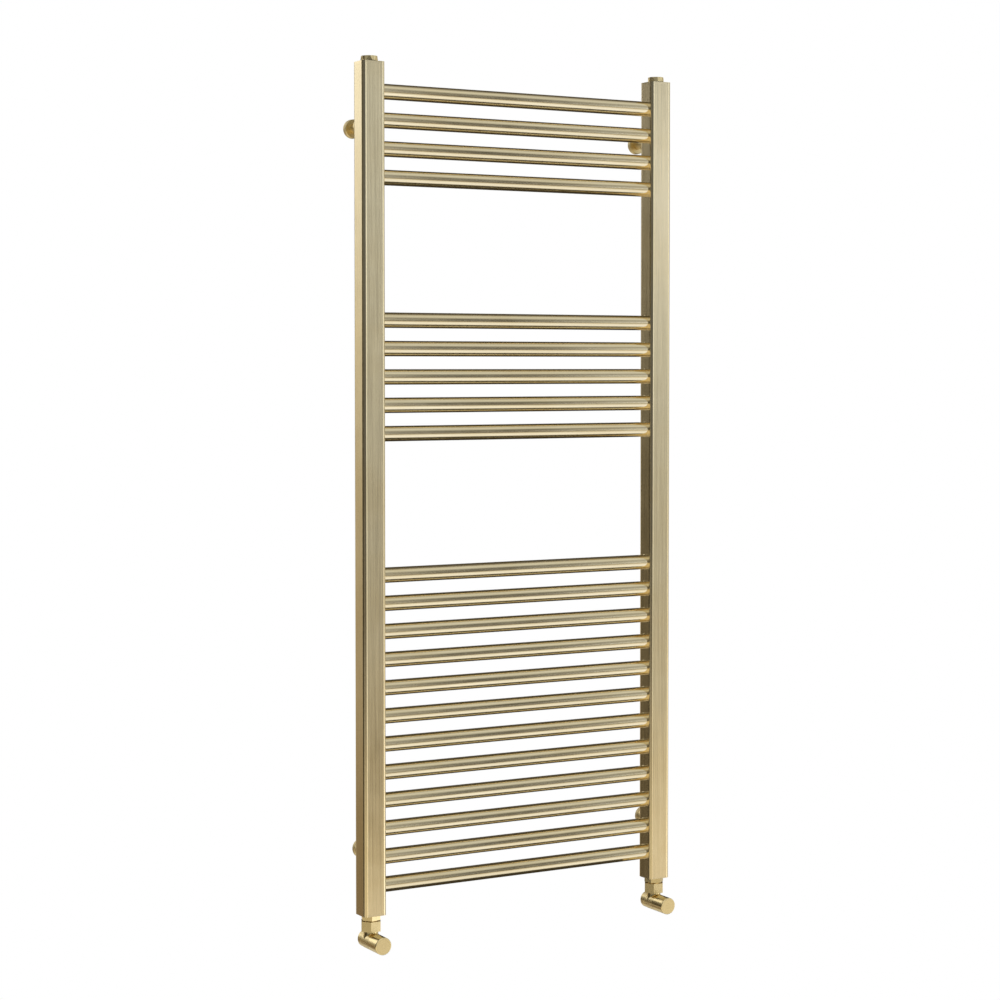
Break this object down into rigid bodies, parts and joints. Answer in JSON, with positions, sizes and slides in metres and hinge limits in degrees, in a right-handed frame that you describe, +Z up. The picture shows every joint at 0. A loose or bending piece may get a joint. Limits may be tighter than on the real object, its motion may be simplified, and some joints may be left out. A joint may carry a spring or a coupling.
{
  "type": "towel warmer rack",
  "caption": "Wall-hung ladder towel warmer with grouped round bars between square uprights, telescopic wall brackets, an air vent and angled valves.",
  "frame": {"origin": "on the wall, midway between the two upper wall screws", "axes": "+X to the right along the bars seen from the front, +Y towards the wall, +Z up"},
  "size_m": [0.515, 0.0951, 1.2584],
  "materials": {
    "brushed_brass": "satin brushed, lacquered",
    "bright_brass": "fine turned, satin",
    "machined_brass": "as machined",
    "rubber": "matt",
    "steel": "oiled"
  },
  "bodies": {
    "rail": {"bar_01": "brushed_brass", "bar_02": "brushed_brass", "bar_03": "brushed_brass", "bar_04": "brushed_brass", "bar_05": "brushed_brass", "bar_06": "brushed_brass", "bar_07": "brushed_brass", "bar_08": "brushed_brass", "bar_09": "brushed_brass", "bar_10": "brushed_brass", "bar_11": "brushed_brass", "bar_12": "brushed_brass", "bar_13": "brushed_brass", "bar_14": "brushed_brass", "bar_15": "brushed_brass", "bar_16": "brushed_brass", "bar_17": "brushed_brass", "bar_18": "brushed_brass", "bar_19": "brushed_brass", "bar_20": "brushed_brass", "bar_21": "brushed_brass", "left_upright": "brushed_brass", "left_top_cap": "brushed_brass", "left_bottom_cap": "brushed_brass", "left_upper_socket": "brushed_brass", "left_lower_socket": "brushed_brass", "left_plug_seal": "rubber", "left_valve_tail": "bright_brass", "left_union_nut": "bright_brass", "left_valve_body": "bright_brass", "left_compression_nut": "bright_brass", "left_olive": "machined_brass", "left_bonnet": "machined_brass", "right_upright": "brushed_brass", "right_top_cap": "brushed_brass", "right_bottom_cap": "brushed_brass", "right_upper_socket": "brushed_brass", "right_lower_socket": "brushed_brass", "right_plug_seal": "rubber", "right_valve_tail": "bright_brass", "right_union_nut": "bright_brass", "right_valve_body": "bright_brass", "right_compression_nut": "bright_brass", "right_olive": "machined_brass", "right_bonnet": "machined_brass", "grub_screws": "steel", "air_vent_plug": "bright_brass", "blanking_plug": "bright_brass"},
    "left_upper_foot": {"left_upper_foot": "brushed_brass"},
    "right_upper_foot": {"right_upper_foot": "brushed_brass"},
    "left_lower_foot": {"left_lower_foot": "brushed_brass"},
    "right_lower_foot": {"right_lower_foot": "brushed_brass"},
    "air_vent_screw": {"air_vent_screw": "machined_brass"},
    "control_handle": {"control_handle": "bright_brass", "left_spindle": "machined_brass"},
    "control_plug": {"left_valve_plug": "machined_brass"},
    "lockshield_cap": {"lockshield_cap": "bright_brass"},
    "lockshield_spindle": {"right_spindle": "machined_brass"},
    "lockshield_plug": {"right_valve_plug": "machined_brass"}
  },
  "joints": [
    {"name": "left_upper_foot_slide", "type": "slide", "parent": "rail", "child": "left_upper_foot", "axis": [0, 1, 0], "range_m": [-0.024, 0]},
    {"name": "left_lower_foot_slide", "type": "slide", "parent": "rail", "child": "left_lower_foot", "axis": [0, 1, 0], "range_m": [0, 0.024]},
    {"name": "right_upper_foot_slide", "type": "slide", "parent": "rail", "child": "right_upper_foot", "axis": [0, 1, 0], "range_m": [-0.024, 0]},
    {"name": "right_lower_foot_slide", "type": "slide", "parent": "rail", "child": "right_lower_foot", "axis": [0, 1, 0], "range_m": [0, 0.024]},
    {"name": "air_vent_turn", "type": "hinge", "parent": "rail", "child": "air_vent_screw", "pos_m": [-0.24, -0.0558, 0.089], "axis": [0, 0, 1], "range_deg": [0, 360]},
    {"name": "control_handle_turn", "type": "hinge", "parent": "rail", "child": "control_handle", "pos_m": [-0.24, -0.0858, -1.1485], "axis": [0, 1, 0], "range_deg": [0, 1044]},
    {"name": "control_plug_travel", "type": "slide", "parent": "rail", "child": "control_plug", "axis": [0, 1, 0], "range_m": [0, 0.0044]},
    {"name": "lockshield_cap_pull", "type": "slide", "parent": "rail", "child": "lockshield_cap", "axis": [0, -1, 0], "range_m": [0, 0.035]},
    {"name": "lockshield_turn", "type": "hinge", "parent": "rail", "child": "lockshield_spindle", "pos_m": [0.24, -0.0758, -1.1485], "axis": [0, 1, 0], "range_deg": [0, 1044]},
    {"name": "lockshield_plug_travel", "type": "slide", "parent": "rail", "child": "lockshield_plug", "axis": [0, 1, 0], "range_m": [0, 0.00435]}
  ],
  "couplings": [
    {"joint": "control_plug_travel", "follows": "control_handle_turn", "m_per_rad": 0.00023873},
    {"joint": "lockshield_turn", "follows": "lockshield_plug_travel", "rad_per_m": 4188.8}
  ]
}
